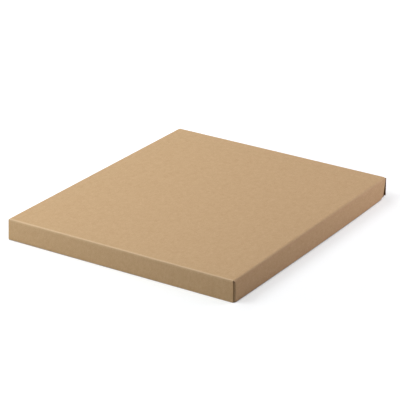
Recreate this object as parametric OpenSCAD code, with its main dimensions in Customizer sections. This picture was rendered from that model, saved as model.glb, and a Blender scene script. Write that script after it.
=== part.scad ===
// Shallow presentation box folded from one blank of solid kraft board.
// The lid is hinged along the rear crease and its walls hang outside the walls of the base.
// Origin: middle of the footprint, on the table. Front towards -Y, hinge along +Y, +Z up.

/* [Overall size] */
// Width of the closed box along its front edge
box_w = 230; // [140:1:320]
// Depth of the closed box from front to hinge
box_l = 290; // [160:1:400]
// Height of the closed box
box_h = 20; // [15:0.5:60]

/* [Board] */
// Thickness of the solid board
board_t = 0.6; // [0.4:0.05:1]
// Inside radius of the sharp creases
crease_r = 0.3; // [0.2:0.05:0.8]
// Inside radius of the softer creases along the lid's sides
soft_crease_r = 1.4; // [0.5:0.1:2.5]

/* [Lid walls] */
// Height of the lid walls' lower edges above the table
lid_lift = 0.4; // [0.2:0.1:3]
// How far each side wall bulges outwards at the middle of its lower edge
wall_bow = 2.3; // [0:0.1:4]
// Sharpness of the bulge: 2 is an even arc, higher is flatter along the middle
bow_power = 4; // [2:2:8]
// Gap between a side wall's rear end and the back wall, just under the top
rear_gap_top = 0.8; // [0.4:0.1:3]
// The same gap at the lower edge, where the end is cut back
rear_gap_low = 3.2; // [0.5:0.1:8]
// Radius of a side wall's lower rear corner
rear_corner_r = 6.5; // [1:0.5:10]

/* [Fit of lid and base] */
// Gap between the side walls of the lid and of the base
side_gap = 0.8; // [0.4:0.1:3]
// Gap between the lid's glue tabs and the base's front wall
front_gap = 0.8; // [0.4:0.1:3]
// Gap between the tops of the base's walls and the lid's top panel
head_gap = 0.6; // [0.3:0.1:3]
// Gap under the hinge's round edge
hinge_gap = 0.1; // [0.05:0.05:0.3]

/* [Glue tabs] */
// Length of each glue tab from the corner
tab_l = 16; // [8:1:30]
// How much each end of a tab tapers towards its free edge
tab_taper = 3; // [0:0.5:5]

/* [Hidden] */

kraft = "#c6a981";
kraft_inside = "#bb9d75";

// Outside radii of the creases
fold_r = crease_r + board_t;
soft_fold_r = soft_crease_r + board_t;

// Faces of the closed box
side_x = box_w / 2;
front_y = -box_l / 2;
back_y = box_l / 2;

// The base stands inside the lid's walls and tabs, and its back wall closes the box
base_x = side_x - board_t - side_gap;
base_front_y = front_y + 2 * board_t + front_gap;
base_wall_h = box_h - board_t - head_gap;
back_wall_h = box_h - board_t - hinge_gap;

// Axis of the hinge crease, in the middle of the board
hinge_y = back_y - board_t / 2;
hinge_z = box_h - board_t / 2;

// A lid side crease starts behind the front crease, and its wall a fold further back
crease_start_y = front_y + fold_r;
wall_start_y = front_y + board_t + fold_r;
wall_end_y = back_y - board_t - rear_gap_top;
wall_low_end_y = back_y - board_t - rear_gap_low;
wall_drop = box_h - soft_fold_r - lid_lift;
bow_angle = asin(wall_bow / wall_drop);
tab_top_z = box_h - soft_fold_r - board_t;
bow_stations = 24;
arc_steps = 6;

// Cutters run past what they cut by this much
past = 1;
fine = 48;

// A flat outline of Y and Z, drawn out along X from x0 to x1
module along_x(x0, x1) {
    translate([x0, 0, 0]) rotate([90, 0, 90]) linear_extrude(x1 - x0) children();
}

// A flat outline of X and Z, drawn out along Y from y0 to y1
module along_y(y0, y1) {
    translate([0, y1, 0]) rotate([90, 0, 0]) linear_extrude(y1 - y0) children();
}

// Block between two corners
module block(low, high) {
    translate(low) cube(high - low);
}

// Both hands of what is drawn on the +X side
module both_sides() {
    children();
    mirror([1, 0, 0]) children();
}

// Section of a sharp crease: a quarter ring of board round the origin, in the +X +Y quarter
module crease_section() {
    difference() {
        intersection() {
            circle(fold_r, $fn = fine);
            square(fold_r + past);
        }
        circle(crease_r, $fn = fine);
    }
}

// Glue tab of a side wall whose outer face is at face_x. It lies against an end wall's inner face
// at end_y, tapers towards its free edge, and its crease joins it to the side wall behind it.
module glue_tab(face_x, end_y, low, high) {
    along_y(end_y, end_y + board_t)
        polygon([[face_x - fold_r, low], [face_x - fold_r, high],
                 [face_x - tab_l, high - tab_taper], [face_x - tab_l, low + tab_taper]]);
    translate([face_x - fold_r, end_y + fold_r, low])
        linear_extrude(high - low) mirror([0, 1]) crease_section();
}

module base_tray() {
    inner_x = base_x - fold_r;
    front_floor_y = base_front_y + fold_r;
    back_floor_y = back_y - fold_r;
    side_start_y = front_floor_y + board_t;
    side_end_y = back_floor_y - board_t;
    color(kraft_inside) union() {
        block([-inner_x, front_floor_y, 0], [inner_x, back_floor_y, board_t]);
        // Front wall and back wall on their creases. The back wall is as wide as the lid.
        along_x(-inner_x, inner_x) {
            translate([front_floor_y, fold_r]) rotate(180) crease_section();
            translate([back_floor_y, fold_r]) rotate(270) crease_section();
        }
        block([-base_x, base_front_y, fold_r], [base_x, base_front_y + board_t, base_wall_h]);
        block([-side_x, back_y - board_t, fold_r], [side_x, back_y, back_wall_h]);
        // Side walls on their creases, each with a glue tab at both ends
        both_sides() {
            along_y(side_start_y, side_end_y) translate([inner_x, fold_r]) rotate(270) crease_section();
            block([base_x - board_t, side_start_y, fold_r], [base_x, side_end_y, base_wall_h]);
            glue_tab(base_x, base_front_y + board_t, fold_r, base_wall_h);
            mirror([0, 1, 0]) glue_tab(base_x, board_t - back_y, fold_r, base_wall_h);
        }
    }
}

// How far along its crease a side wall leans out: 0 at both ends and 1 in the middle
function bulge(u) = 1 - pow(2 * u - 1, bow_power);

// Points of the soft crease's arc of radius r at one place along Y, from the top round by turn degrees
function crease_arc(y, r, turn) = [for (i = [0:arc_steps]) let (b = 90 - turn * i / arc_steps)
    [side_x - soft_fold_r + r * cos(b), y, box_h - soft_fold_r + r * sin(b)]];

function reversed(list) = [for (i = [len(list) - 1:-1:0]) list[i]];

// Section of the lid's side crease and wall at one place along Y, leaning out by a degrees
function wall_section(y, a) =
    let (outside = crease_arc(y, soft_fold_r, 90 - a))
    let (inside = crease_arc(y, soft_crease_r, 90 - a))
    let (down = [sin(a), 0, -cos(a)] * wall_drop)
    concat(outside, [outside[arc_steps] + down, inside[arc_steps] + down], reversed(inside));

// Side crease and wall as one bowed sheet, before its ends are cut to shape
module bowed_wall() {
    sections = concat(
        [wall_section(crease_start_y, 0)],
        [for (i = [0:bow_stations]) let (u = i / bow_stations)
            wall_section(wall_start_y + (wall_end_y - wall_start_y) * u, bow_angle * bulge(u))]);
    rings = len(sections);
    ring = len(sections[0]);
    last = (rings - 1) * ring;
    sides = [for (i = [0:rings - 2]) for (j = [0:ring - 1])
        let (k = (j + 1) % ring, a = i * ring, b = a + ring)
        each [[a + j, b + j, b + k], [a + j, b + k, a + k]]];
    // Each end is a strip of quads from the outer points to the inner ones
    strip = [for (j = [0:ring / 2 - 2]) [j, j + 1, ring - 2 - j, ring - 1 - j]];
    start = [for (quad = strip) reversed(quad)];
    finish = [for (quad = strip) [for (j = quad) last + j]];
    polyhedron(points = [for (s = sections) each s], faces = concat(sides, start, finish), convexity = 4);
}

// What is cut off the rear of a side wall, seen from the side: its end slopes forward from the crease
// down to the lower edge, where a round corner meets both
module rear_cutaway() {
    low = lid_lift - past;
    crease_z = box_h - soft_fold_r;
    slope = atan2(wall_end_y - wall_low_end_y, crease_z - lid_lift);
    // Centre of the round corner: one radius above the lower edge and in front of the sloping end
    centre_z = lid_lift + rear_corner_r;
    centre_y = wall_low_end_y + rear_corner_r * (tan(slope) - 1 / cos(slope));
    tangent = [centre_y + rear_corner_r * cos(slope), centre_z - rear_corner_r * sin(slope)];
    polygon([[wall_end_y, crease_z], tangent, [tangent.x, low], [back_y, low], [back_y, crease_z]]);
    difference() {
        polygon([[centre_y, centre_z], tangent, [tangent.x, low], [centre_y, low]]);
        translate([centre_y, centre_z]) circle(rear_corner_r, $fn = fine);
    }
}

// The lid's outline seen from the front. Its upper corners follow the side creases.
module front_outline() {
    arc = [for (p = crease_arc(0, soft_fold_r, 90)) [p.x, p.z]];
    mirrored = [for (p = reversed(arc)) [-p.x, p.y]];
    polygon(concat(mirrored, arc, [[side_x, lid_lift], [-side_x, lid_lift]]));
}

module lid() {
    color(kraft) union() {
        // Top panel, with the hinge's round edge at its rear
        block([soft_fold_r - side_x, crease_start_y, box_h - board_t], [side_x - soft_fold_r, hinge_y, box_h]);
        along_x(soft_fold_r - side_x, side_x - soft_fold_r)
            translate([hinge_y, hinge_z]) circle(board_t / 2, $fn = fine);
        // Front wall and crease, as wide as the lid
        intersection() {
            along_x(-side_x - past, side_x + past) {
                translate([front_y, 0]) square([board_t, box_h - fold_r]);
                translate([crease_start_y, box_h - fold_r]) rotate(90) crease_section();
            }
            along_y(front_y - past, crease_start_y + past) front_outline();
        }
        // Side walls on their creases, each with a glue tab behind the front wall
        both_sides() {
            difference() {
                bowed_wall();
                along_x(0, box_w) rear_cutaway();
                block([0, front_y, 0], [box_w, wall_start_y, tab_top_z]);
            }
            glue_tab(side_x, front_y + board_t, lid_lift, tab_top_z);
        }
    }
}

base_tray();
lid();
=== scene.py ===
"""Shallow presentation box, folded from one blank of solid kraft board, on a plain pale floor.

Lengths are metres and the axes are the frame's: X across the front edge, Y from the front to the hinge, Z up.
Each board piece is the outer surface of a folded sheet, which then gets the board's thickness inwards.
"""

import math

import bmesh
import bpy
import numpy as np
from mathutils import Matrix, Vector


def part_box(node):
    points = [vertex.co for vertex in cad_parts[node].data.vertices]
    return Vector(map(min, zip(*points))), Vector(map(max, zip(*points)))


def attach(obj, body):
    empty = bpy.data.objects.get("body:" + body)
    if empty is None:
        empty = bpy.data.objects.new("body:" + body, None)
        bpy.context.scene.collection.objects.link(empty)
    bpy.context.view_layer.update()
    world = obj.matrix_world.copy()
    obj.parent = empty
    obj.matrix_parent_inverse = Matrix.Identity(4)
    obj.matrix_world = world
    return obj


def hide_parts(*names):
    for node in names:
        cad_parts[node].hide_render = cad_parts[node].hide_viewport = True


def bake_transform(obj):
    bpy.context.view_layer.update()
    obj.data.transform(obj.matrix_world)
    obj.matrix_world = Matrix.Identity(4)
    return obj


bl_info = {
    "name": "Kraft presentation box",
    "version": (1, 0, 0),
    "blender": (4, 5, 0),
    "location": "3D View > Sidebar > Kraft box",
    "description": "Builds a hinged presentation box in folded kraft board, its finish and a plain studio",
    "category": "Add Mesh",
}

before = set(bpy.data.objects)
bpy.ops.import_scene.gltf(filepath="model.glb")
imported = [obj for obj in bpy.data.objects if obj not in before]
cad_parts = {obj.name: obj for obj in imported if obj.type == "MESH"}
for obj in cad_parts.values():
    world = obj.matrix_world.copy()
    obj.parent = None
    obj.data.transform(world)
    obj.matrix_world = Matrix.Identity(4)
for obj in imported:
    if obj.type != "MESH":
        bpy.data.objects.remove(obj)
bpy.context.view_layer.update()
BASE_LOW, BASE_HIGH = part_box("base_tray")
LID_LOW, LID_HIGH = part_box("lid")

MM = 0.001
# Faces of the closed box, from the frame. The back wall is as wide as the lid, and shows in the base's box.
SIDE_X = BASE_HIGH.x
FRONT_Y = LID_LOW.y
BACK_Y = BASE_HIGH.y
TOP_Z = LID_HIGH.z
BASE_FRONT_Y = BASE_LOW.y
WALL_BOW = LID_HIGH.x - SIDE_X

QUARTER_TURN = math.pi / 2
# Faces along the parts of a folded sheet
CREASE_STEPS = 8
SOFT_CREASE_STEPS = 12
WALL_STEPS = 16
PANEL_STEPS_X = 40
PANEL_STEPS_Y = 96
TAB_STEPS = 6
EAR_STEPS = 8
# Faces that meet at a greater angle than this are shaded as a sharp edge
SHARP_ANGLE = math.radians(35)
# Points closer together than this are one point
WELD = 1e-7
# How far the board is darkened from a cut edge, and how far painted shade reaches up the lid's walls from
# their lower edge
CUT_REACH = 1.2 * MM
FOOT_SHADE_REACH = 2.4 * MM
# Wear and painted highlight on the lid's panel where it meets the front crease, and how far it fades over
FRONT_EDGE_WEAR_AND_HIGHLIGHT = 0.8
FRONT_EDGE_REACH = 1.2 * MM
# Most wear on the hinge crease
HINGE_WEAR = 0.4


# Shapes

def crease(q, radius):
    """Path of a board's outer face round a quarter turn and straight on, for the distance q along it.

    Up to radius * pi / 2 it is an arc: forward by radius * sin(angle) and down by radius * (1 - cos(angle)).
    Past that it runs straight down. Returns the distances forward and down.
    """
    bend = radius * QUARTER_TURN
    angle = np.minimum(q, bend) / radius
    return radius * np.sin(angle), radius * (1 - np.cos(angle)) + np.maximum(q - bend, 0)


def crease_stations(radius, drop):
    """Distances along a crease and the wall below it: even over the arc, then closer near the wall's edge."""
    bend = radius * QUARTER_TURN
    wall = np.sin(np.linspace(0, QUARTER_TURN, WALL_STEPS + 1))[1:]
    return np.concatenate([np.linspace(0, bend, CREASE_STEPS + 1), bend + drop * wall])


def front_wear_and_highlight(q, radius):
    """How much the face is rubbed and stretched, with a painted highlight, at a distance q along a crease: 1
    at a third of its arc.

    It grows to that from the panel side over half the arc's length, and fades past it over the whole of it.
    """
    bend = radius * QUARTER_TURN
    return np.clip(np.minimum(1 + 2 * (q - bend / 3) / bend, 1 - (q - bend / 3) / bend), 0, 1)


def near_cut(distance, reach=CUT_REACH):
    """How darkened the face is by the die's blade, and by painted shade up the lid's walls from their lower
    edge: 1 at a cut edge, falling to 0 at reach.
    """
    return np.clip(1 - distance / reach, 0, 1)


def patch(x, y, z, u, v, wear=0.0, cut=0.0, shade=0.0):
    """A grid of points, each with its place u, v on the flat board and its amounts of wear with painted
    highlight, of darkening near cuts with painted shade, and of painted slot shade.
    """
    return np.stack(np.broadcast_arrays(x, y, z, u, v, wear, cut, shade), axis=-1)


def flipped(grid):
    """The other hand of a patch: X and the flat coordinate u change sign."""
    other = grid.copy()
    other[..., 0] *= -1
    other[..., 3] *= -1
    return other


def welded_sheet(patches):
    """Joins patches into one sheet, where points at one place become one. Returns points and faces."""
    points, faces, start = [], [], 0
    for grid in patches:
        rows, columns = grid.shape[:2]
        index = start + np.arange(rows * columns).reshape(rows, columns)
        corners = (index[:-1, :-1], index[1:, :-1], index[1:, 1:], index[:-1, 1:])
        faces.append(np.stack([c.ravel() for c in corners], axis=1))
        points.append(grid.reshape(-1, grid.shape[-1]))
        start += rows * columns
    points, faces = np.concatenate(points), np.concatenate(faces)
    _, first, same = np.unique(np.round(points[:, :3] / WELD).astype(np.int64), axis=0,
                               return_index=True, return_inverse=True)
    return points[first], same.ravel()[faces]


def add_values(mesh, points):
    """Stores each point's place on the flat board, and its amounts of wear with painted highlight, of
    darkening near cuts with painted shade, and of painted slot shade, as attributes.
    """
    flat = mesh.attributes.new("flat_board", "FLOAT_VECTOR", "POINT")
    flat.data.foreach_set("vector", np.pad(points[:, 3:5], ((0, 0), (0, 1))).astype(np.float32).ravel())
    for name, column in (("crease_wear_and_highlight", 5), ("near_cut", 6), ("painted_slot_shade", 7)):
        amount = mesh.attributes.new(name, "FLOAT", "POINT")
        amount.data.foreach_set("value", points[:, column].astype(np.float32))


def board_object(name, patches, thickness, inside_is_up):
    """One folded sheet with its thickness: material 0 outside, 1 inside and 2 on the cut edges."""
    points, faces = welded_sheet(patches)
    sheet = bpy.data.meshes.new(name + "_sheet")
    sheet.from_pydata(points[:, :3], [], [tuple(dict.fromkeys(f)) for f in faces.tolist()])
    add_values(sheet, points)
    bm = bmesh.new()
    bm.from_mesh(sheet)
    bmesh.ops.recalc_face_normals(bm, faces=bm.faces)
    panel = max(bm.faces, key=lambda f: f.calc_area())
    if (panel.normal.z > 0) == inside_is_up:
        bmesh.ops.reverse_faces(bm, faces=bm.faces)
    bm.to_mesh(sheet)
    bm.free()
    folded = bpy.data.objects.new(name, sheet)
    bpy.context.scene.collection.objects.link(folded)
    for _ in range(3):
        sheet.materials.append(None)
    solid = folded.modifiers.new("board", "SOLIDIFY")
    solid.thickness = thickness
    solid.offset = -1
    solid.use_even_offset = True
    solid.material_offset = 1
    solid.material_offset_rim = 2
    evaluated = folded.evaluated_get(bpy.context.evaluated_depsgraph_get())
    mesh = bpy.data.meshes.new_from_object(evaluated)
    folded.modifiers.clear()
    folded.data = mesh
    bpy.data.meshes.remove(sheet)
    mesh.name = name
    mesh.shade_smooth()
    mesh.set_sharp_from_angle(angle=SHARP_ANGLE)
    return folded


# The box

def tab_patch(sizes, radius, edge, start_y, gap, towards):
    """Glue tab from a side wall's edge: round a crease, then flat behind the end wall, tapering to its end.

    Each point is at a distance q round the crease and along the tab. Its height keeps the wall's up to the
    crease's end, and from there shrinks about the middle in proportion to the distance. The tab comes out of
    the crease at a gap behind the end wall, and reaches the glue a third of the way along. edge is the wall's
    end, a row of patch points, and towards is -1 at the front.
    """
    face_x, wall_z, wall_u = edge[:, 0], edge[:, 2], edge[:, 3]
    bend = radius * QUARTER_TURN
    q = np.concatenate([np.linspace(0, bend, CREASE_STEPS + 1),
                        np.linspace(bend, bend + sizes.tab_length - radius, TAB_STEPS + 1)[1:]])
    forward, inward = crease(q, radius)
    share = np.maximum(q - bend, 0) / (sizes.tab_length - radius)
    middle, height = (wall_z.max() + wall_z.min()) / 2, np.ptp(wall_z)
    shrink = 1 - share * 2 * sizes.tab_taper / height
    z = middle + (wall_z[:, None] - middle) * shrink
    closing = np.clip(3 * (q - bend) / sizes.tab_length, 0, 1)
    y = start_y + towards * (forward + (gap - sizes.glue_line) * closing)
    return patch(face_x[:, None] - inward, y, z, wall_u[:, None], start_y + towards * q)


def lid_columns(soft, drop):
    """Columns across half the lid: distance from the middle, share of the crease's arc, depth below it."""
    panel_x = np.linspace(0, SIDE_X - soft, PANEL_STEPS_X // 2 + 1)
    arc = np.linspace(0, 1, SOFT_CREASE_STEPS + 1)[1:]
    fall = drop * np.sin(np.linspace(0, QUARTER_TURN, WALL_STEPS + 1))[1:]
    # One more row close under the crease keeps its shading from spreading down the wall
    fall = np.concatenate([[drop / 30], fall])
    x = np.concatenate([panel_x, np.full(arc.size + fall.size, panel_x[-1])])
    share = np.concatenate([np.zeros(panel_x.size), arc, np.ones(fall.size)])
    below = np.concatenate([np.zeros(panel_x.size + arc.size), fall])
    return x, share, below


def lid_half(sizes, soft, front_lean, rear_lean, inset):
    """Right-hand half of the lid: panel, side crease and wall as one grid, glue tab, and half the front wall.

    A column lies at angle * share round the crease's arc. The wall below it is a shallow arc that starts at
    its lean plus wall_curl and ends at its lean less wall_curl. The lean goes from front_lean to rear_lean
    along the wall, and towards lean_most in the middle, by 1 - (2 * along - 1) ** bow_power. The wall's rear
    end slopes forward, straight down to where its round lower corner takes over.
    """
    radius = sizes.crease_radius + sizes.board
    corner = sizes.soft_crease_radius + sizes.board
    crease_z = TOP_Z - soft
    crease_y = FRONT_Y + radius
    wall_y = FRONT_Y + sizes.board + sizes.corner_gap + corner
    end_y = BACK_Y - sizes.board - sizes.rear_gap_top
    low_end_y = BACK_Y - sizes.board - sizes.rear_gap_low
    drop = crease_z - sizes.lid_lift
    columns_x, share, below = lid_columns(soft, drop)

    slope = math.atan2(end_y - low_end_y, drop)
    round_r = sizes.rear_corner_radius
    centre_z = sizes.lid_lift + round_r
    centre_y = low_end_y + round_r * (math.tan(slope) - 1 / math.cos(slope))
    height = crease_z - below
    on_line = end_y - below * math.tan(slope)
    on_round = centre_y + np.sqrt(np.maximum(round_r**2 - (height - centre_z)**2, 0))
    rear = np.where(height > centre_z - round_r * math.sin(slope), on_line, on_round)
    rear = np.where(share == 0, BACK_Y - sizes.hinge_leg, rear)
    front = np.where(below > 0, wall_y, crease_y)

    # Rows are closer together at the ends, where the bulge grows and fades
    v = (1 - np.cos(np.linspace(0, math.pi, PANEL_STEPS_Y + 1))) / 2
    y = front + (rear - front) * v[:, None]
    along = np.clip((y - wall_y) / (end_y - wall_y), 0, 1)
    lean_most = math.asin(WALL_BOW / drop)
    lean = front_lean + (rear_lean - front_lean) * along
    lean = lean + (lean_most - lean) * (1 - (2 * along - 1)**sizes.bow_power)
    curl = sizes.wall_curl
    wall_r = drop / (2 * curl)
    start, now = lean + curl, lean + curl - below / wall_r
    angle = QUARTER_TURN - (QUARTER_TURN - start) * share
    x = columns_x + soft * np.cos(angle) + wall_r * (np.cos(now) - np.cos(start))
    z = crease_z + soft * np.sin(angle) - wall_r * (np.sin(start) - np.sin(now))
    u = columns_x + soft * QUARTER_TURN * share + below
    wear = sizes.soft_crease_wear * np.clip(1 - np.abs(2 * share - 1), 0, 1)
    # Wear and a painted highlight on the panel along the front crease
    edge_wear_and_highlight = np.clip(FRONT_EDGE_WEAR_AND_HIGHLIGHT - (y - crease_y) / FRONT_EDGE_REACH, 0, 1)
    wear = np.maximum(wear, np.where(below > 0, 0, edge_wear_and_highlight))
    # Painted shade up the wall from its lower edge, and the die's darkening along its rear end
    cut = np.where(share > 0, np.maximum(near_cut(drop - below, FOOT_SHADE_REACH), near_cut(rear - y)), 0)
    side = patch(x, y, z, u, y, wear, cut)
    tab = tab_patch(sizes, corner, side[0, below > 0], wall_y, sizes.corner_gap, -1)
    return [side, tab, lid_front_patch(sizes, soft, front_lean, inset)]


def lid_front_patch(sizes, soft, end_lean, inset):
    """Right-hand half of the front crease and wall. Past the panel its upper edge follows the side crease.

    Each column starts at the distance start_q round the crease where that edge cuts it. The wall's end leans
    with the side wall: a point moves out by its depth times tan(end_lean), in proportion to its x.
    """
    radius = sizes.crease_radius + sizes.board
    turn = np.linspace(0, QUARTER_TURN, EAR_STEPS + 1)[1:]
    panel_x = np.linspace(0, SIDE_X - soft, PANEL_STEPS_X // 2 + 1)
    ear = (soft - inset) * np.sin(turn)
    x = np.concatenate([panel_x, SIDE_X - soft + ear])
    lost = np.concatenate([np.zeros(panel_x.size), soft - np.sqrt(soft**2 - ear**2)])
    start_q = np.where(lost < radius, radius * np.arccos(np.clip(1 - lost / radius, 0, 1)),
                       radius * QUARTER_TURN + lost - radius)
    q = crease_stations(radius, TOP_Z - radius - sizes.lid_lift)
    last = q[-1]
    q = start_q + (last - start_q) * (q[:, None] / last)
    forward, down = crease(q, radius)
    out = x / SIDE_X * np.maximum(down - soft, 0) * math.tan(end_lean)
    # Painted shade up the wall from its lower edge, and the die's darkening along its end
    cut = np.maximum(near_cut(last - q, FOOT_SHADE_REACH), near_cut(x[-1] - x))
    # The front crease's wear carries a painted highlight
    return patch(x + out, FRONT_Y + radius - forward, TOP_Z - down, x, FRONT_Y + radius - q,
                 front_wear_and_highlight(q, radius), cut)


def lid_patches(sizes):
    """The lid's outer face: a sharp crease and upright wall on its left, soft and leaning on its right."""
    soft = sizes.soft_crease_radius + sizes.board
    left = lid_half(sizes, sizes.left_crease_radius + sizes.board, 0.0, 0.0, 0.0)
    right = lid_half(sizes, soft, sizes.end_lean, sizes.rear_lean, sizes.end_inset)
    grids = [*right, *[flipped(grid) for grid in left]]
    # The walls get shorter from right to left, by short_left over the box's width
    for grid in grids:
        depth, across = 1 - grid[..., 2] / TOP_Z, 0.5 - grid[..., 0] / (2 * SIDE_X)
        grid[..., 2] += sizes.short_left * depth * np.clip(across, 0, 1)
    return grids


def end_wall_patch(sizes, panel_x, face_x, face_y, towards, high, flat_x, edge_drop, ear_lift):
    """Half of an end wall of the base: up from the floor round a crease, and wider than the floor by an ear.

    A column starts on the floor's edge, or past the floor's width at ear_lift above the crease, with a
    slanting cut between. It ends at the height high, less edge_drop over the width flat_x of the lid's panel.
    """
    radius = sizes.crease_radius + sizes.board
    bend = radius * QUARTER_TURN
    ear = np.linspace(0, 1, EAR_STEPS + 1)[1:]
    half = np.concatenate([panel_x, panel_x[-1] + (face_x - panel_x[-1]) * ear])
    start = np.clip((half - panel_x[-1]) / radius, 0, 1) * (bend + ear_lift)
    last = bend + high - radius - np.where(half <= flat_x, edge_drop, 0)
    q = crease_stations(radius, high - radius)
    q = start + (last - start) * (q[:, None] / q[-1])
    forward, up = crease(q, radius)
    y = face_y - towards * radius + towards * forward
    # Painted shade: the ears' inner face is coloured a near-black brown, standing in for the deep shade
    # behind the lid's walls
    shade = np.clip((half - panel_x[-1] - radius / 2) / radius, 0, 1) * (towards > 0)
    return patch(half, y, up, half, face_y + towards * q, shade=shade, cut=near_cut(last - q))


def base_half(sizes, soft, end_lean):
    """Right-hand half of the base's outer face: floor, side wall, two glue tabs, half of each end wall."""
    radius = sizes.crease_radius + sizes.board
    face_x = SIDE_X - sizes.board - sizes.side_gap
    floor_x = face_x - radius
    floor_front, floor_back = BASE_FRONT_Y + radius, BACK_Y - radius
    high = TOP_Z - sizes.board - sizes.head_gap
    panel_x = np.linspace(0, floor_x, PANEL_STEPS_X // 2 + 1)
    rows = np.linspace(floor_front, floor_back, PANEL_STEPS_Y + 1)
    floor = patch(panel_x, rows[:, None], 0.0, panel_x, rows[:, None])

    # Side wall: its crease starts where the floor does, and the wall above stops short for the tabs' creases
    q = crease_stations(radius, high - radius)
    forward, up = crease(q, radius)
    front = np.where(up >= radius, floor_front + sizes.board, floor_front)
    rear = np.where(up >= radius, floor_back - sizes.board, floor_back)
    share = (rows[:, None] - floor_front) / (floor_back - floor_front)
    side_y = front + (rear - front) * share
    side = patch(floor_x + forward, side_y, up, floor_x + q, side_y, cut=near_cut(q[-1] - q))
    wall = up >= radius
    tabs = [tab_patch(sizes, radius, side[row, wall], side_y[row, -1], 0.0, towards)
            for row, towards in ((0, -1), (-1, 1))]
    front_wall = end_wall_patch(sizes, panel_x, face_x, BASE_FRONT_Y, -1, high, 0.0, 0.0, 0.0)
    back_wall = end_wall_patch(sizes, panel_x, SIDE_X, BACK_Y, 1, BASE_HIGH.z, SIDE_X - soft,
                               BASE_HIGH.z - TOP_Z + sizes.hinge_leg, sizes.ear_lift)
    depth = np.maximum(TOP_Z - soft - back_wall[..., 2], 0)
    back_wall[..., 0] += back_wall[..., 0] / SIDE_X * depth * math.tan(end_lean)
    return [floor, side, *tabs, front_wall, back_wall]


def base_patches(sizes):
    """The base's outer face. Its back wall is as wide as the lid, and leans out with it at its right end."""
    left = base_half(sizes, sizes.left_crease_radius + sizes.board, 0.0)
    right = base_half(sizes, sizes.soft_crease_radius + sizes.board, sizes.end_lean)
    return [*right, *[flipped(grid) for grid in left]]


def hinge_crease_object(name, sizes):
    """The crease that the lid turns on: a board profile round a quarter turn, carried along X and closed.

    The profile's outer points follow the crease's path up the back wall and over onto the panel, and its
    inner points lie one board thickness inwards, so it fills the space between the two rigid pieces.
    """
    radius = sizes.crease_radius + sizes.board
    left_x = sizes.left_crease_radius + sizes.board - SIDE_X
    right_x = SIDE_X - sizes.soft_crease_radius - sizes.board
    leg = sizes.hinge_leg - radius
    turn = np.linspace(0, QUARTER_TURN, 2 * CREASE_STEPS + 1)
    straight = np.linspace(0, leg, 3)[:-1]

    def profile(r):
        y = np.concatenate([np.full(2, radius), r * np.cos(turn), -leg + straight[::-1]])
        z = np.concatenate([straight - leg, r * np.sin(turn), np.full(2, radius)])
        return y, z

    outer = profile(radius)
    inner = profile(sizes.crease_radius)
    inner[0][:2] = sizes.crease_radius
    inner[1][-2:] = sizes.crease_radius
    y = BACK_Y - radius + np.concatenate([outer[0], inner[0][::-1]])
    z = TOP_Z - radius + np.concatenate([outer[1], inner[1][::-1]])
    x = np.linspace(left_x, right_x, PANEL_STEPS_X + 1)
    count = y.size
    points = np.stack(np.broadcast_arrays(x[:, None], y, z), axis=-1).reshape(-1, 3)
    ring = np.arange(count)
    start = np.arange(PANEL_STEPS_X)[:, None] * count
    sides = np.stack([start + ring, start + (ring + 1) % count, start + count + (ring + 1) % count,
                      start + count + ring], axis=-1).reshape(-1, 4)
    strip = np.arange(count // 2 - 1)
    cap = np.stack([strip, strip + 1, count - 2 - strip, count - 1 - strip], axis=1)
    faces = np.concatenate([sides, cap[:, ::-1], cap + PANEL_STEPS_X * count])
    mesh = bpy.data.meshes.new(name)
    mesh.from_pydata(points, [], faces)
    outside = np.tile(ring < count // 2, PANEL_STEPS_X + 1)
    round_profile = np.sin(np.linspace(0, 2 * math.pi, count) % math.pi)
    wear = np.where(outside, HINGE_WEAR * np.tile(round_profile, PANEL_STEPS_X + 1), 0)
    v = BACK_Y - radius + np.tile(np.linspace(0, 2 * sizes.hinge_leg, count), PANEL_STEPS_X + 1)
    add_values(mesh, patch(*points.T, points[:, 0], v, wear))
    bm = bmesh.new()
    bm.from_mesh(mesh)
    bmesh.ops.recalc_face_normals(bm, faces=bm.faces)
    bm.to_mesh(mesh)
    bm.free()
    mesh.shade_smooth()
    mesh.set_sharp_from_angle(angle=SHARP_ANGLE)
    strip_object = bpy.data.objects.new(name, mesh)
    bpy.context.scene.collection.objects.link(strip_object)
    return strip_object


# Materials

def linear(colour):
    """An sRGB hex colour, such as "#c5a881", as linear RGBA: the sRGB curve on each channel, alpha 1."""
    channels = [int(colour[i:i + 2], 16) / 255 for i in (1, 3, 5)]
    return (*(c / 12.92 if c <= 0.04045 else ((c + 0.055) / 1.055)**2.4 for c in channels), 1.0)


def add_node(material, kind, settings=None, **links):
    """Adds a node. settings are its properties and, by name or number, sockets. links feed its sockets."""
    tree = material.node_tree
    node = tree.nodes.new(kind)
    for name, value in (settings or {}).items():
        if isinstance(name, int) or name in node.inputs:
            node.inputs[name].default_value = value
        else:
            setattr(node, name, value)
    for name, source in links.items():
        key = int(name[1:]) if name[1:].isdigit() else name.replace("_", " ")
        tree.links.new(source, node.inputs[key])
    return node


def new_material(name):
    material = bpy.data.materials.new(name)
    material.use_nodes = True
    material.node_tree.nodes.clear()
    return material


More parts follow.
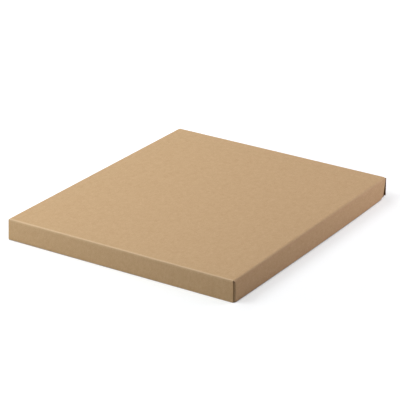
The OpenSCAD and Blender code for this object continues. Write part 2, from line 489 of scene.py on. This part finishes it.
# What colours the board, from the first layer to the last: the noise's size in mm, its length over its width,
# its turn in degrees from across the machine's run, its detail, roughness and distortion, the two noise
# values between which the layer comes in, its amounts at them, and its tone.
# Real fibres are 0.03 mm thick. These are drawn about 0.4 mm thick, so that they show in the render.
BOARD_LAYERS = (
    (7.0, 1.6, 90, 3.0, 0.5, 0.4, 0.30, 0.70, 0.0, 1.0, "cloud"),
    (5.0, 1.3, 0, 1.0, 0.5, 0.6, 0.32, 0.68, 0.0, 0.6, "streak"),
    (2.6, 1.6, 84, 1.0, 0.5, 0.6, 0.32, 0.68, 0.25, 0.0, "pale_fibre"),
    (1.5, 6.0, 87, 2.0, 0.5, 0.6, 0.40, 0.75, 0.0, 0.4, "streak"),
    (0.6, 2.5, 105, 3.0, 0.7, 0.8, 0.28, 0.50, 0.45, 0.0, "dark_fibre"),
    (0.45, 4.0, 68, 1.0, 0.5, 1.6, 0.52, 0.72, 0.0, 0.5, "pale_fibre"),
    (0.40, 4.5, 128, 1.0, 0.5, 1.4, 0.54, 0.74, 0.0, 0.45, "pale_fibre"),
    (0.40, 4.0, 20, 1.0, 0.5, 1.8, 0.55, 0.75, 0.0, 0.4, "dark_fibre"),
    (1.2, 1.3, 75, 1.0, 0.5, 0.5, 0.74, 0.82, 0.0, 0.45, "speck"),
)
# The layers that also raise the board's face: clouds of pulp, and the first pale fibres of 0.45 mm
RELIEF_LAYERS = (0, 5)


def kraft_board(name, tones, shades):
    """Unbleached kraft board, machine made and uncoated.

    What that gives the eye: a matt brown with cloudy pulp, faint streaks along the machine's run, short pale
    and dark fibres, and a few specks of bark. Each of shades is an attribute's name, its most and its tone,
    such as a lighter line where a crease has stretched the top fibres, which on the lid's front crease is
    also a painted highlight, or painted shade in the slots behind the lid's walls.
    """
    material = new_material(name)
    flat = add_node(material, "ShaderNodeAttribute", {"attribute_name": "flat_board"}).outputs["Vector"]
    colour, relief = None, []
    for size, stretch, turn, detail, roughness, distortion, low, high, least, most, tone in BOARD_LAYERS:
        turned = add_node(material, "ShaderNodeMapping",
                          {"vector_type": "TEXTURE", "Scale": (size * stretch * MM, size * MM, size * MM),
                           "Rotation": (0, 0, math.radians(turn))}, Vector=flat).outputs["Vector"]
        found = add_node(material, "ShaderNodeTexNoise", {"Detail": detail, "Roughness": roughness,
                         "Distortion": distortion, "Scale": 1.0}, Vector=turned).outputs["Fac"]
        amount = add_node(material, "ShaderNodeMapRange", {"From Min": low, "From Max": high, "To Min": least,
                          "To Max": most}, Value=found).outputs["Result"]
        mixed = add_node(material, "ShaderNodeMix", {"data_type": "RGBA", 6: linear(tones.board),
                         7: linear(getattr(tones, tone))}, _0=amount)
        if colour:
            material.node_tree.links.new(colour, mixed.inputs[6])
        colour = mixed.outputs[2]
        relief.append(found)
    for attribute, most, tone in shades:
        where = add_node(material, "ShaderNodeAttribute", {"attribute_name": attribute}).outputs["Fac"]
        amount = add_node(material, "ShaderNodeMath", {"operation": "MULTIPLY", 1: most}, _0=where).outputs[0]
        colour = add_node(material, "ShaderNodeMix", {"data_type": "RGBA", 7: linear(tone)},
                          _0=amount, _6=colour).outputs[2]
    clouds, fibres = (relief[layer] for layer in RELIEF_LAYERS)
    height = add_node(material, "ShaderNodeMath", {"operation": "ADD"}, _0=clouds, _1=fibres).outputs["Value"]
    bump = add_node(material, "ShaderNodeBump", {"Strength": 0.35, "Distance": 0.04 * MM}, Height=height)
    shader = add_node(material, "ShaderNodeBsdfPrincipled", {"Roughness": 0.9, "IOR": 1.5,
                      "Specular IOR Level": 0.15}, Base_Color=colour, Normal=bump.outputs["Normal"])
    add_node(material, "ShaderNodeOutputMaterial", Surface=shader.outputs["BSDF"])
    return material


def cut_edge(tones):
    """Die-cut edge of solid kraft board: matt, with the pressed layers of pulp showing as fine lines."""
    material = new_material("kraft_board_cut_edge")
    place = add_node(material, "ShaderNodeTexCoord").outputs["Object"]
    layers = add_node(material, "ShaderNodeTexNoise", {"Scale": 1 / (0.25 * MM), "Detail": 2.0}, Vector=place)
    amount = add_node(material, "ShaderNodeMapRange", {"From Min": 0.35, "From Max": 0.65},
                      Value=layers.outputs["Fac"]).outputs["Result"]
    colour = add_node(material, "ShaderNodeMix", {"data_type": "RGBA", 6: linear(tones.edge),
                      7: linear(tones.edge_layer)}, _0=amount).outputs[2]
    shader = add_node(material, "ShaderNodeBsdfPrincipled", {"Roughness": 0.95, "IOR": 1.5,
                      "Specular IOR Level": 0.15}, Base_Color=colour)
    add_node(material, "ShaderNodeOutputMaterial", Surface=shader.outputs["BSDF"])
    return material


def seen_directly(owner):
    """1 for rays from the camera, mirrors and glass, and 0 for those that only carry light."""
    rays = add_node(owner, "ShaderNodeLightPath")
    seen = add_node(owner, "ShaderNodeMath", {"operation": "MAXIMUM"},
                    _0=rays.outputs["Is Camera Ray"], _1=rays.outputs["Is Glossy Ray"])
    return add_node(owner, "ShaderNodeMath", {"operation": "MAXIMUM"}, _0=seen.outputs["Value"],
                    _1=rays.outputs["Is Transmission Ray"]).outputs["Value"]


# Metres from the box's centre between which the floor's extra white rises to full white
LIFT_RISE = (0.2, 0.6)
# Shares of open sky over the paper between which the extra white comes in
OPEN_SKY = (0.45, 0.8)


def studio_floor(studio):
    """Seamless paper sweep, evenly lit: a pale diffuse sheet, seen as white with soft shadows.

    The white that only the camera sees fades where the box stands close over the paper, so that the thin line
    of shadow under the box stays dark.
    """
    material = new_material("paper_sweep")
    paper = add_node(material, "ShaderNodeBsdfDiffuse", {"Color": linear(studio.floor_colour)})
    lift = add_node(material, "ShaderNodeMath", {"operation": "MULTIPLY"}, _0=seen_directly(material))
    place = add_node(material, "ShaderNodeTexCoord").outputs["Object"]
    away = add_node(material, "ShaderNodeVectorMath", {"operation": "LENGTH"}, _0=place).outputs["Value"]
    rising = add_node(material, "ShaderNodeMapRange", {"From Min": LIFT_RISE[0], "From Max": LIFT_RISE[1],
                      "To Min": studio.floor_lift, "To Max": 1.0}, Value=away).outputs["Result"]
    material.node_tree.links.new(rising, lift.inputs[1])
    open_sky = add_node(material, "ShaderNodeAmbientOcclusion", {"samples": 16, "Distance": studio.contact})
    open_part = add_node(material, "ShaderNodeMapRange", {"From Min": OPEN_SKY[0], "From Max": OPEN_SKY[1]},
                         Value=open_sky.outputs["AO"]).outputs["Result"]
    lift = add_node(material, "ShaderNodeMath", {"operation": "MULTIPLY"},
                    _0=lift.outputs["Value"], _1=open_part)
    glow = add_node(material, "ShaderNodeEmission", {"Color": linear(studio.lift_colour)},
                    Strength=lift.outputs["Value"])
    both = add_node(material, "ShaderNodeAddShader", _0=paper.outputs["BSDF"], _1=glow.outputs["Emission"])
    add_node(material, "ShaderNodeOutputMaterial", Surface=both.outputs["Shader"])
    return material


# Settings a user would change

def length(name, description, metres):
    return bpy.props.FloatProperty(name=name, description=description, default=metres, min=0.0,
                                   subtype="DISTANCE", unit="LENGTH", precision=5)


def hex_colour(name, description, value):
    return bpy.props.StringProperty(name=name, description=description, default=value, maxlen=7)


class BoardSizes(bpy.types.PropertyGroup):
    """Real sizes of the board, its creases, walls and tabs."""

    board: length("Board", "Thickness of the solid board", 0.6 * MM)
    crease_radius: length("Crease", "Inside radius of the sharp creases", 0.3 * MM)
    soft_crease_radius: length("Soft crease", "Inside radius of the lid's right and corner creases", 1.4 * MM)
    left_crease_radius: length("Left crease", "Inside radius of the lid's left-hand crease", 0.5 * MM)
    corner_gap: length("Corner gap", "Gap behind the front wall where a tab leaves its crease", 0.25 * MM)
    end_inset: length("End inset", "How far the front wall's right end stops inside the side wall", 1.15 * MM)
    lid_lift: length("Lid lift", "Gap under the lid's walls", 0.05 * MM)
    short_left: length("Short left", "How much shorter the lid's left-hand wall is", 0.35 * MM)
    side_gap: length("Side gap", "Gap between the side walls of lid and base", 0.8 * MM)
    head_gap: length("Head gap", "Gap between the base's walls and the lid's panel", 0.6 * MM)
    rear_gap_top: length("Rear gap, top", "Gap behind a lid side wall, under the panel", 0.9 * MM)
    rear_gap_low: length("Rear gap, low", "Gap behind a lid side wall, at its lower edge", 5.4 * MM)
    ear_lift: length("Ear lift", "How far the back wall's ears end above the crease under it", 0.8 * MM)
    end_lean: bpy.props.FloatProperty(name="End lean", description="Outward lean of the right walls' ends",
                                      default=math.radians(2.6), subtype="ANGLE", unit="ROTATION")
    rear_lean: bpy.props.FloatProperty(name="Rear lean", description="The same at the lid wall's rear end",
                                       default=math.radians(0.5), subtype="ANGLE", unit="ROTATION")
    wall_curl: bpy.props.FloatProperty(name="Wall curl", description="Half a side wall's turn by its foot",
                                       default=math.radians(4), min=math.radians(0.1), subtype="ANGLE",
                                       unit="ROTATION")
    rear_corner_radius: length("Rear corner", "Radius of a side wall's lower rear corner", 6.5 * MM)
    tab_length: length("Tab", "Length of each glue tab", 16 * MM)
    tab_taper: length("Tab taper", "How much each end of a tab tapers", 3 * MM)
    glue_line: length("Glue line", "Thickness of the dried glue under a tab", 0.03 * MM)
    hinge_leg: length("Hinge leg", "Reach of the bending crease onto panel and back wall", 1.3 * MM)
    bow_power: bpy.props.IntProperty(name="Bulge", description="2 is an even arc, more is flatter inside",
                                     default=2, min=2, max=8)
    soft_crease_wear: bpy.props.FloatProperty(name="Side wear", description="Rubbing along the side creases",
                                              default=0.25, min=0.0, max=1.0, subtype="FACTOR")


class BoardTones(bpy.types.PropertyGroup):
    """Colours of the board, as sRGB hex values."""

    board: hex_colour("Board", "Main brown of the board", "#c6a980")
    cloud: hex_colour("Cloud", "Denser clouds of pulp", "#c2a47c")
    streak: hex_colour("Streak", "Streaks along the machine's run", "#bd9e75")
    pale_fibre: hex_colour("Pale fibre", "Pale fibres", "#d4b993")
    dark_fibre: hex_colour("Dark fibre", "Dark fibres", "#ae8d64")
    speck: hex_colour("Speck", "Specks of bark", "#8d6d47")
    # Also the painted highlight along the lid's front crease
    worn_and_highlight: hex_colour("Worn crease", "Stretched fibres on a crease", "#e6cfac")
    # Painted shade: a near-black brown for the faces behind the lid's walls, standing in for their deep shade
    slot: hex_colour("Slot", "Faces in the deep shade behind the lid's walls", "#4a3a2b")
    # Also the tone of the painted shade up the lid's walls from their lower edge
    edge: hex_colour("Cut edge", "Pulp at the cut edges", "#b0926a")
    edge_layer: hex_colour("Edge layer", "Darker layers at the cut edges", "#977a55")


class StudioSettings(bpy.types.PropertyGroup):
    """Camera, lamps and floor."""

    focal: bpy.props.FloatProperty(name="Focal length", description="For a sensor 36 mm wide", default=173.1)
    azimuth: bpy.props.FloatProperty(name="Azimuth", description="Turn of the view from the front, degrees",
                                     default=29.97)
    elevation: bpy.props.FloatProperty(name="Elevation", description="Height of the view, in degrees",
                                       default=22.02)
    roll: bpy.props.FloatProperty(name="Roll", description="Tilt of the view, in degrees", default=2.17)
    distance: length("Distance", "From the aim to the camera", 1.7645)
    aim_right: bpy.props.FloatProperty(name="Aim right", description="Aim right of the box's centre, metres",
                                       default=-0.0035)
    aim_up: bpy.props.FloatProperty(name="Aim up", description="Aim above the box's centre, in metres",
                                    default=0.00673)
    floor_colour: hex_colour("Floor", "Colour of the paper sweep", "#cecece")
    floor_lift: bpy.props.FloatProperty(name="Floor lift", description="Extra white only the camera sees",
                                        default=0.53, min=0.0)
    lift_colour: hex_colour("Lift colour", "Tint of that white, against the lamps' own", "#f9ffff")
    contact: length("Contact", "How far from the box the extra white fades", 2.5 * MM)
    light_level: bpy.props.FloatProperty(name="Light level", description="Scales every lamp",
                                         default=1.0, min=0.0)


# Operators

class KRAFTBOX_OT_base_tray(bpy.types.Operator):
    """Builds the base tray in folded board"""

    bl_idname = "kraftbox.base_tray"
    bl_label = "Base tray"

    def execute(self, context):
        sizes, tones = context.scene.kraftbox_sizes, context.scene.kraftbox_tones
        tray = board_object("base_board", base_patches(sizes), sizes.board, inside_is_up=True)
        give_board_materials(tray, tones)
        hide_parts("base_tray")
        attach(tray, "base")
        return {"FINISHED"}


class KRAFTBOX_OT_lid(bpy.types.Operator):
    """Builds the lid in folded board, and the crease that it turns on"""

    bl_idname = "kraftbox.lid"
    bl_label = "Lid and hinge crease"

    def execute(self, context):
        sizes, tones = context.scene.kraftbox_sizes, context.scene.kraftbox_tones
        lid = board_object("lid_board", lid_patches(sizes), sizes.board, inside_is_up=False)
        give_board_materials(lid, tones)
        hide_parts("lid")
        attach(lid, "lid")
        hinge = hinge_crease_object("hinge_crease", sizes)
        give_board_materials(hinge, tones)
        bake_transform(hinge)
        return {"FINISHED"}


class KRAFTBOX_OT_studio(bpy.types.Operator):
    """Sets the pale floor, the soft lamps and the camera"""

    bl_idname = "kraftbox.studio"
    bl_label = "Studio"

    def execute(self, context):
        scene, studio = context.scene, context.scene.kraftbox_studio
        add_floor(studio)
        add_lamps(scene, studio)
        add_camera(scene, studio)
        scene.view_settings.view_transform = "Standard"
        return {"FINISHED"}


def give_board_materials(piece, tones):
    """Fills the piece's three slots: outside, inside and cut edges.

    The die presses the outside darker along its cuts, and painted shade darkens the lid's walls up from their
    lower edge.
    The creases stretch it paler, with a painted highlight along the lid's front crease. The inside is
    darkened with painted shade in the slots behind the lid's walls.
    """
    # Outside: crease wear with a painted highlight, and cut darkening with painted shade up the lid's walls.
    # Inside: painted shade in the slots.
    shades = {"kraft_board_outside": (("crease_wear_and_highlight", 0.6, tones.worn_and_highlight), ("near_cut", 0.35, tones.edge)),
              "kraft_board_inside": (("painted_slot_shade", 0.95, tones.slot),)}
    board = [bpy.data.materials.get(n) or kraft_board(n, tones, shades[n]) for n in shades]
    edge = bpy.data.materials.get("kraft_board_cut_edge") or cut_edge(tones)
    slots = piece.data.materials
    while len(slots) < 3:
        slots.append(None)
    slots[0], slots[1], slots[2] = board[0], board[1], edge


FLOOR_RADIUS = 8.0
FLOOR_SIDES = 96


def add_floor(studio):
    """A flat disc under the box: one face whose corners lie on a circle."""
    angle = np.linspace(0, 2 * math.pi, FLOOR_SIDES, endpoint=False)
    rim = np.stack([np.cos(angle), np.sin(angle), np.zeros(FLOOR_SIDES)], axis=1) * FLOOR_RADIUS
    mesh = bpy.data.meshes.new("floor")
    mesh.from_pydata(rim, [], [list(range(FLOOR_SIDES))])
    mesh.materials.append(studio_floor(studio))
    floor = bpy.data.objects.new("floor", mesh)
    bpy.context.scene.collection.objects.link(floor)


def add_lamp(name, place, aim, size, power, colour):
    """A square soft lamp that faces the aim."""
    lamp = bpy.data.lights.new(name, "AREA")
    lamp.shape = "SQUARE"
    lamp.size = size
    lamp.energy = power
    lamp.color = linear(colour)[:3]
    holder = bpy.data.objects.new(name, lamp)
    holder.location = place
    holder.rotation_euler = (Vector(aim) - Vector(place)).to_track_quat("-Z", "Y").to_euler()
    holder.visible_camera = False
    bpy.context.scene.collection.objects.link(holder)


# Lamp: azimuth from the front towards the right and elevation, degrees, distance and size in metres, watts,
# and colour. The lamps in front and on the right are a shade pinker than the rest.
LAMPS = {
    "high_left": (315, 50, 1.3, 0.6, 7.2, "#ffffff"),
    "low_left": (315, 10, 0.6, 0.3, 1.02, "#ffffff"),
    "left": (270, 55, 0.6, 0.3, 0.66, "#ffffff"),
    "rear_left": (225, 30, 0.6, 0.3, 0.87, "#ffffff"),
    "front": (0, 55, 0.6, 0.3, 0.67, "#fff8fc"),
    "far_right": (135, 12, 1.3, 0.6, 6.0, "#fff3fa"),
    "low_right": (135, 10, 0.6, 0.3, 0.67, "#fff3fa"),
    "high_right": (135, 55, 0.6, 0.3, 0.56, "#fff3fa"),
}


def add_lamps(scene, studio):
    """Soft lamps round the box, strongest on its left, and white surroundings that light nothing."""
    middle = (0, 0, TOP_Z / 2)
    for name, (azimuth, elevation, distance, size, watts, colour) in LAMPS.items():
        turn, lift = math.radians(azimuth), math.radians(elevation)
        place = (distance * math.sin(turn) * math.cos(lift), -distance * math.cos(turn) * math.cos(lift),
                 distance * math.sin(lift))
        add_lamp(name, place, middle, size, watts * studio.light_level, colour)
    world = bpy.data.worlds.new("studio_air")
    world.use_nodes = True
    world.node_tree.nodes.clear()
    seen = seen_directly(world)
    air = add_node(world, "ShaderNodeBackground", {"Color": (1, 1, 1, 1)}, Strength=seen)
    add_node(world, "ShaderNodeOutputWorld", Surface=air.outputs["Background"])
    scene.world = world


def add_camera(scene, studio):
    """Camera from azimuth, elevation and roll, aimed beside the box's centre along the view's own axes."""
    turn, lift, roll = (math.radians(a) for a in (studio.azimuth, studio.elevation, studio.roll))
    forward = Vector((-math.sin(turn) * math.cos(lift), math.cos(turn) * math.cos(lift), -math.sin(lift)))
    level = forward.cross(Vector((0, 0, 1))).normalized()
    above = level.cross(forward)
    right = level * math.cos(roll) + above * math.sin(roll)
    up = above * math.cos(roll) - level * math.sin(roll)
    aim = Vector((0, 0, TOP_Z / 2)) + right * studio.aim_right + up * studio.aim_up
    data = bpy.data.cameras.new("camera")
    data.lens = studio.focal
    data.sensor_width = 36
    data.clip_start, data.clip_end = 0.05, 50
    camera = bpy.data.objects.new("camera", data)
    turned = Matrix((right, up, -forward)).transposed().to_4x4()
    camera.matrix_world = Matrix.Translation(aim - forward * studio.distance) @ turned
    scene.collection.objects.link(camera)
    scene.camera = camera


class KRAFTBOX_PT_panel(bpy.types.Panel):
    """Sidebar panel with the sizes, the colours, the studio and their operators"""

    bl_idname = "KRAFTBOX_PT_panel"
    bl_label = "Kraft box"
    bl_space_type = "VIEW_3D"
    bl_region_type = "UI"
    bl_category = "Kraft box"

    def draw(self, context):
        for group_name in GROUPS:
            group = getattr(context.scene, group_name)
            box = self.layout.box()
            for name in group.__annotations__:
                box.prop(group, name)
        for operator in OPERATORS:
            self.layout.operator(operator.bl_idname)


GROUPS = {"kraftbox_sizes": BoardSizes, "kraftbox_tones": BoardTones, "kraftbox_studio": StudioSettings}
OPERATORS = (KRAFTBOX_OT_studio, KRAFTBOX_OT_base_tray, KRAFTBOX_OT_lid)


def register():
    for cls in (*GROUPS.values(), *OPERATORS, KRAFTBOX_PT_panel):
        bpy.utils.register_class(cls)
    for name, group in GROUPS.items():
        setattr(bpy.types.Scene, name, bpy.props.PointerProperty(type=group))


def unregister():
    for name in GROUPS:
        delattr(bpy.types.Scene, name)
    for cls in (KRAFTBOX_PT_panel, *reversed(OPERATORS), *reversed(GROUPS.values())):
        bpy.utils.unregister_class(cls)


def main():
    register()
    bpy.ops.kraftbox.studio()
    bpy.ops.kraftbox.base_tray()
    bpy.ops.kraftbox.lid()


if __name__ == "__main__":
    main()
